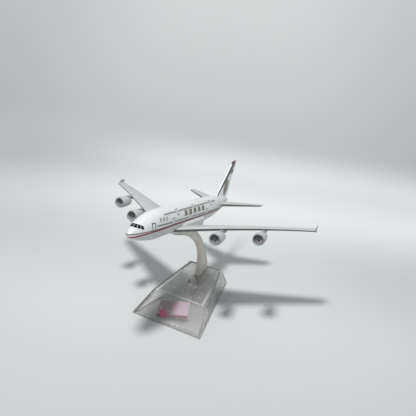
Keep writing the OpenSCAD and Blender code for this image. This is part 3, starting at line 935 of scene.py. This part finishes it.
def fin_material(name):
    g = Graph(name)
    vec, (_, y, z) = g.aircraft()
    cloud = g.noise(vec, 0.12, 4)
    fine = g.noise(vec, 1.4, 3)
    colour = g.mix(cloud, grey(0.88, COOL), grey(0.94, COOL))
    # A dark front edge that widens upwards
    le = z * FIN_LE_SLOPE + (FIN_TIP_Y - FIN_FLAT - FIN_ROUND - FIN_BEND_Z * FIN_LE_SLOPE)
    wide = g.math("POWER", g.math("MAXIMUM", z - 7.0, 0.0) / 26.0, 1.3) * 5.6 + 2.2
    lead = g.step(y - le - wide, 0.15, -0.15) * g.step(y - le, 0.35, 0.6)
    colour = g.mix(lead, colour, g.mix(g.step(z, 24, 34), (0.04, 0.042, 0.035, 1), (0.045, 0.025, 0.02, 1)))
    # A plain oval and a short dash
    along, up = y - 144.2 - (z - 16) * 0.22, z - 15
    oval = g.step(along * along * (1 / 5.6 ** 2) + up * up * (1 / 7.2 ** 2), 1.08, 0.94)
    colour = g.mix(oval, colour, g.mix(g.step(z, 8, 19), (0.055, 0.045, 0.04, 1), (0.15, 0.13, 0.045, 1)))
    dash = g.both(g.within(y, 150.8, 159.8, 0.2), g.band(z - (y - 155) * 0.2, 28.9, 1.8, 0.2))
    colour = g.mix(dash, colour, (0.07, 0.08, 0.08, 1))
    cap = g.step(z + (y - 158) * 0.35, 33.0, 33.6)
    colour = g.mix(cap, colour, g.mix(g.step(z, 33.5, 38.5), (0.05, 0.03, 0.025, 1), (0.15, 0.015, 0.02, 1)))
    rudder = g.both(g.band(y - z * 0.42, 140.3, 0.1, 0.05), g.step(z, 6, 7)) * 0.5
    colour = g.mix(rudder, colour, grey(0.3))
    g.bump(g.noise(vec, 0.55, 3) + fine * 0.2 - rudder, 0.18, 0.2)
    return g.paint(colour, fine * 0.16 + 0.28, Coat_Weight=0.25, Coat_Roughness=0.2)


def tailplane_material(name):
    g = Graph(name)
    vec, (x, y, z) = g.aircraft()
    ax = abs(x)
    cloud = g.noise(vec, 0.14, 4)
    fine = g.noise(vec, 1.6, 3)
    under = g.step(z - (ax - TAIL_SIDE_X) * TAIL_RISE, 1.15, 0.8)
    colour = g.mix(cloud, grey(0.46, COOL), grey(0.54, COOL))
    # Painted shade: the underside is painted darker grey
    colour = g.mix(under, colour, grey(0.2, COOL))
    lead = y - ((ax - TAIL_TIP_X) * TAIL_LE_SLOPE + TAIL_TIP_LE)
    colour = g.mix(g.step(lead, 0.9, 0.3), colour, grey(0.12, COOL))
    hinge = g.band(y - ax * 0.38, 137.9, 0.1, 0.05) * g.step(ax, 4, 5) * g.step(ax, 33.5, 33)
    colour = g.mix(hinge * 0.5, colour, grey(0.2, COOL))
    g.bump(g.noise(vec, 0.5, 3) + fine * 0.2 - hinge, 0.2, 0.2)
    return g.paint(colour, fine * 0.18 + 0.3, Coat_Weight=0.2, Coat_Roughness=0.25)


def engine_axes(g, at):
    """Across, aft and up from an engine's front end, and the distance from its axis."""
    vec, (x, y, z) = g.aircraft()
    dx, dz = x - at[0], z - at[2]
    r = g.math("SQRT", dx * dx + dz * dz)
    return vec, dx, y - at[1], dz, r


def cowl_material(name, at):
    g = Graph(name)
    vec, _, d, _, r = engine_axes(g, at)
    cloud = g.noise(vec, 0.3, 4)
    fine = g.noise(vec, 1.8, 3)
    colour = g.mix(cloud, grey(0.46, COOL), grey(0.54, COOL))
    inside = g.step(r - (COWL_R - 0.8) + d * 0.02, 0.12, -0.02) * g.step(d, 11.4, 11.2)
    colour = g.mix(g.step(d, 0.8, 0.55), colour, grey(0.26, COOL))
    colour = g.mix(inside * g.step(d, 0.1, 0.4), colour, grey(0.36, COOL))
    line = g.either(g.band(d, 3.1, 0.07, 0.04), g.band(d, 7.4, 0.07, 0.04)) * (1 - inside)
    colour = g.mix(line * 0.5, colour, grey(0.2, COOL))
    colour = g.mix(g.step(d, 10.6, 11.5) * 0.4, colour, grey(0.2, COOL))
    g.bump(g.noise(vec, 0.8, 3) + fine * 0.2 - line, 0.2, 0.15)
    rough = fine * 0.2 + 0.3 - g.step(d, 0.75, 0.6) * 0.08
    return g.paint(colour, rough, Coat_Weight=0.15, Coat_Roughness=0.25)


def fan_material(name, at, turn):
    g = Graph(name)
    vec, dx, _, dz, r = engine_axes(g, at)
    angle = g.math("ARCTAN2", dz, dx)
    fine = g.noise(vec, 3.0, 3)
    colour = g.mix(fine, (0.27, 0.25, 0.27, 1), (0.40, 0.375, 0.40, 1))
    colour = g.mix(g.step(r, 2.3, 3.2) * 0.5, colour, grey(0.1, COOL))
    # A pale curl on the spinner
    curl = g.band(g.repeat(angle / (2 * math.pi) + r * 0.55 + turn, 1.0), 0.5, 0.12, 0.05)
    swirl = g.both(curl, g.step(r, 1.02, 0.98), g.step(r, 0.1, 0.25))
    colour = g.mix(g.step(r, 1.05, 0.95), colour, grey(0.06, COOL))
    colour = g.mix(swirl, colour, grey(0.12, COOL))
    g.bump(fine, 0.3, 0.05)
    return g.paint(colour, fine * 0.2 + 0.6)


def core_material(name, at):
    g = Graph(name)
    vec, dx, d, dz, _ = engine_axes(g, at)
    angle = g.math("ARCTAN2", dz, dx)
    cloud = g.noise(vec, 0.6, 4)
    fine = g.noise(vec, 3.0, 3)
    colour = g.mix(cloud, (0.30, 0.29, 0.28, 1), (0.42, 0.41, 0.4, 1))
    colour = g.mix(g.step(d, 10, 14.5) * 0.6, colour, (0.2, 0.165, 0.14, 1))
    seam = g.both(g.band(g.repeat(angle, math.pi / 3), 0, 0.03, 0.015), g.step(d, 8, 8.2))
    colour = g.mix(seam * 0.5, colour, grey(0.1))
    g.bump(fine + cloud - seam, 0.3, 0.08)
    return g.paint(colour, fine * 0.25 + 0.32, Metallic=0.65)


def pylon_material(name):
    g = Graph(name)
    vec, _ = g.aircraft()
    cloud = g.noise(vec, 0.3, 4)
    fine = g.noise(vec, 1.8, 3)
    colour = g.mix(cloud, grey(0.38, COOL), grey(0.46, COOL))
    g.bump(g.noise(vec, 0.8, 3) + fine * 0.3, 0.2, 0.15)
    return g.paint(colour, fine * 0.2 + 0.34, Coat_Weight=0.15, Coat_Roughness=0.3)


def screw_material(name):
    g = Graph(name)
    vec, _ = g.aircraft()
    cloud = g.noise(vec, 1.1, 4)
    fine = g.noise(vec, 7.0, 2)
    colour = g.mix(cloud, (0.34, 0.34, 0.35, 1), (0.5, 0.5, 0.5, 1))
    g.bump(fine, 0.3, 0.03)
    return g.paint(colour, fine * 0.3 + 0.25, Metallic=1.0)


def frosted_material(name, low, high, clear, rough, crease):
    """Frosted plastic that lets a blurred view and some light through."""
    g = Graph(name)
    vec, (x, y, z) = g.axes((0, -FRONT, 0))
    cloud = g.noise(vec, 0.05, 4)
    fine = g.noise(vec, 0.9, 3)
    grain = g.noise(vec, 6.0, 2)
    colour = g.mix(cloud, low, high)
    scuff = g.step(g.noise(vec, 0.35, 5, 0.65), 0.6, 0.72)
    colour = g.mix(scuff * 0.15, colour, grey(0.8))
    clear_here = clear - scuff * 0.05
    if crease:
        # Painted highlight: the crease between the deck and the front face is made cloudy, a pale line that
        # stands in for its highlight
        crease_highlight = g.both(g.band(y, DECK_Y + 0.1, 0.35, 0.15), g.step(z, DECK_Z - 1, DECK_Z - 0.6),
                        g.step(fine, 0.2, 0.4))
        colour = g.mix(crease_highlight * 0.5, colour, grey(0.7))
        clear_here = clear_here * (1 - crease_highlight * 0.45)
        # Partly the frosted plastic's own milkiness, partly painted light: the edges of the deck, the front
        # face and the rim are made milky and less clear, so they stay pale where they would render dark
        front_w = y * ((DECK_W - FRONT_W) / DECK_Y) + FRONT_W
        deck_w = (y - DECK_Y) * ((TOP_W - SHOULDER_W) / (TOP_Y - DECK_Y)) + SHOULDER_W
        half_w = front_w + g.step(y, DECK_Y - 0.2, DECK_Y + 0.2) * (deck_w - front_w)
        edge = g.band(abs(x), half_w, 0.55, 0.4) * g.step(y, TOP_Y + 1, TOP_Y)
        edge = g.either(edge, g.step(z, 1.5, 1.0)) * (fine * 0.6 + 0.4)
        colour = g.mix(edge * 0.8, colour, MILKY_EDGE_LIGHT)
        clear_here = clear_here * (1 - edge * 0.6)
    g.bump(grain * 0.4 + fine, 0.12, 0.1)
    g.put(g.bsdf.inputs["Transmission Weight"], clear_here)
    return g.paint(colour, fine * 0.1 + scuff * 0.08 + rough, IOR=1.3)


def card_material(name):
    g = Graph(name)
    vec, (x, y, z) = g.axes((0, -FRONT, -LIP_H))
    up = y * math.cos(FACE_SLOPE) + z * math.sin(FACE_SLOPE) - CARD_UP
    u = x * math.cos(CARD_TURN) + up * math.sin(CARD_TURN)
    v = up * math.cos(CARD_TURN) - x * math.sin(CARD_TURN)
    fibre = g.noise(vec, 2.0, 4)
    fine = g.noise(vec, 9.0, 2)
    colour = g.mix(fibre, (0.60, 0.41, 0.54, 1), (0.70, 0.52, 0.63, 1))
    # Painted shade: the left part of the slip, where it curls away from the face, is painted darker
    curl_shade = g.step(u + fibre * 3 - 1.5, 3.0, -3.0)
    colour = g.mix(curl_shade * 0.8, colour, (0.36, 0.25, 0.3, 1))
    strip = g.step(v + fibre * 0.5, -4.0, -4.6)
    colour = g.mix(strip, colour, (0.15, 0.004, 0.05, 1))
    spot_u, spot_v = u + 9.2 + v * 0.4, v + 3.6
    spot = g.step(spot_u * spot_u * 0.13 + spot_v * spot_v * 0.12, 1.5, 0.8)
    colour = g.mix(spot, colour, (0.86, 0.0, 0.25, 1))
    g.bump(fibre + fine * 0.3, 0.3, 0.05)
    return g.paint(colour, fibre * 0.2 + 0.55)


# ---- Pieces ----

frosted_base = frosted_material("frosted_base", (0.925, 0.915, 0.90, 1), (0.975, 0.965, 0.95, 1),
                                0.92, 0.19, True)
frosted_arm = frosted_material("frosted_arm", (0.80, 0.76, 0.70, 1), (0.88, 0.84, 0.78, 1), 0.45, 0.36, False)
finish_piece(fuselage_part("fuselage_upper", True), "aircraft", ["fuselage_upper_casting"],
             fuselage_material("white_enamel"))
finish_piece(fuselage_part("fuselage_lower", False), "aircraft", ["fuselage_lower_casting"],
             fuselage_material("belly_enamel"))
wing_grey = wing_material("wing_enamel")
tail_grey = tailplane_material("tailplane_enamel")
for word, side in (("port", 1), ("starboard", -1)):
    finish_piece(wing_part(word + "_wing_skin", side), "aircraft", [word + "_wing"],
                 wing_grey)
    finish_piece(tailplane_part(word + "_tailplane_skin", side), "aircraft", [word + "_tailplane"],
                 tail_grey)
finish_piece(fin_part("fin_skin"), "aircraft", ["fin"], fin_material("fin_enamel"))
pylon_grey = pylon_material("pylon_enamel")
for number, at in ENGINES.items():
    stem = f"engine_{number}_"
    turn = 0.21 * number
    finish_piece(cowl_part(stem + "nacelle", at), "aircraft", [stem + "cowl"],
                 cowl_material(f"cowl_enamel_{number}", at))
    finish_piece(fan_part(stem + "blades", at, turn), "aircraft", [stem + "fan"],
                 fan_material(f"fan_plastic_{number}", at, turn))
    finish_piece(core_part(stem + "nozzle", at), "aircraft", [stem + "core"],
                 core_material(f"core_metal_{number}", at))
    finish_piece(pylon_part(stem + "strut", at), "aircraft", [stem + "pylon"], pylon_grey)
finish_piece(screws_part("belly_screws"), "aircraft", ["shell_screws"],
             screw_material("screw_steel"))
finish_piece(arm_part("arm_moulding"), "arm", ["stand_arm"], frosted_arm)
finish_piece(base_part("base_moulding"), "base", ["stand_base"], frosted_base)
finish_piece(card_part("card_slip"), "base", ["base_card"], card_material("card_paper"))

# ---- Floor, light and camera ----

# In metres and radians from here on
HEADING, DIP, ROLL = math.radians(22.2), math.radians(15.04), math.radians(7.88)
CAMERA_AT = Vector((0.1082, -0.2361, 0.1599))
FLOOR_BACK, CURVE_R, WALL_TOP = 0.6, 1.2, 4.0
# Colours of the floor's painted pool of light and of its painted shade
POOL_LIGHT = (0.86, 0.875, 0.87, 1)
FALLOFF_SHADE = (0.41, 0.425, 0.43, 1)


def backdrop():
    """A pale floor that curves up into a wall a long way behind the stand."""
    profile = [(-3.0, 0.0), (FLOOR_BACK, 0.0)]
    profile += [(FLOOR_BACK + CURVE_R * math.sin(t), CURVE_R - CURVE_R * math.cos(t))
                for t in np.linspace(0, math.pi / 2, 24)[1:]]
    profile.append((FLOOR_BACK + CURVE_R, WALL_TOP))
    verts = [(x, d, h) for x in (-4.0, 4.0) for d, h in profile]
    n = len(profile)
    faces = [[i, i + 1, n + i + 1, n + i] for i in range(n - 1)]
    ob = new_mesh("backdrop", verts, faces, 60)
    ob.data.transform(Matrix.Rotation(HEADING, 4, "Z"))
    g = Graph("pale_floor")
    vec, (across, along, _) = g.axes((0, 0, 0), (0, 0, -HEADING), 1.0)
    cloud = g.noise(vec, 1.5, 2)
    colour = g.mix(cloud, (0.555, 0.568, 0.568, 1), (0.585, 0.596, 0.593, 1))
    # Painted light: a pool of light, palest behind the stand. Painted shade: greyer towards the front, the
    # sides and up the wall, and darker in the far corners
    light_pool = g.step(along, 0.08, 0.42) * g.step(along, 1.05, 0.72) * g.step(across, -0.5, 0.02)
    colour = g.mix(light_pool, colour, POOL_LIGHT)
    colour = g.mix(g.step(along, 0.02, -0.14) * 0.75, colour, FALLOFF_SHADE)
    sides = g.step(abs(across - 0.02), 0.06, 0.24) * g.step(along, 0.3, 0.1)
    colour = g.mix(sides * 0.3, colour, FALLOFF_SHADE)
    colour = g.mix(g.step(along, 0.9, 1.15) * 0.7, colour, (0.515, 0.535, 0.53, 1))
    corners = g.step(abs(across), 0.25, 1.0) * g.step(along, 0.6, 1.1)
    colour = g.mix(corners * 0.4, colour, (0.38, 0.41, 0.42, 1))
    g.put(g.bsdf.inputs["Base Color"], colour)
    g.put(g.bsdf.inputs["Roughness"], cloud * 0.2 + 0.75)
    g.bsdf.inputs["Specular IOR Level"].default_value = 0.1
    ob.data.materials.append(g.mat)


backdrop()
world = bpy.data.worlds.new("studio")
bpy.context.scene.world = world
world.use_nodes = True
background = world.node_tree.nodes["Background"]
background.inputs["Color"].default_value = (0.93, 0.98, 1.0, 1)
background.inputs["Strength"].default_value = 0.465


def lamp(name, at, radius, energy):
    """A soft round lamp whose light doesn't fade with distance, as a larger one far away."""
    data = bpy.data.lights.new(name, "POINT")
    data.shadow_soft_size = radius
    data.energy = energy
    data.use_nodes = True
    nodes, links = data.node_tree.nodes, data.node_tree.links
    falloff = nodes.new("ShaderNodeLightFalloff")
    falloff.inputs["Strength"].default_value = 1.0
    links.new(falloff.outputs["Constant"], nodes["Emission"].inputs["Strength"])
    ob = bpy.data.objects.new(name, data)
    bpy.context.scene.collection.objects.link(ob)
    ob.location = at


lamp("key", (0.033, -0.204, 0.372), 0.02, 36.5)

cam_data = bpy.data.cameras.new("camera")
cam_data.sensor_width = 36
cam_data.lens = 30.77
cam_data.clip_start = 0.01
cam = bpy.data.objects.new("camera", cam_data)
bpy.context.scene.collection.objects.link(cam)
forward = Vector((-math.sin(HEADING) * math.cos(DIP), math.cos(HEADING) * math.cos(DIP), -math.sin(DIP)))
level = Vector((math.cos(HEADING), math.sin(HEADING), 0))
upright = level.cross(forward)
right = level * math.cos(ROLL) + upright * math.sin(ROLL)
up = right.cross(forward)
cam.matrix_world = Matrix.Translation(CAMERA_AT) @ Matrix((right, up, -forward)).transposed().to_4x4()
bpy.context.scene.camera = cam
bpy.context.scene.view_settings.view_transform = "Standard"
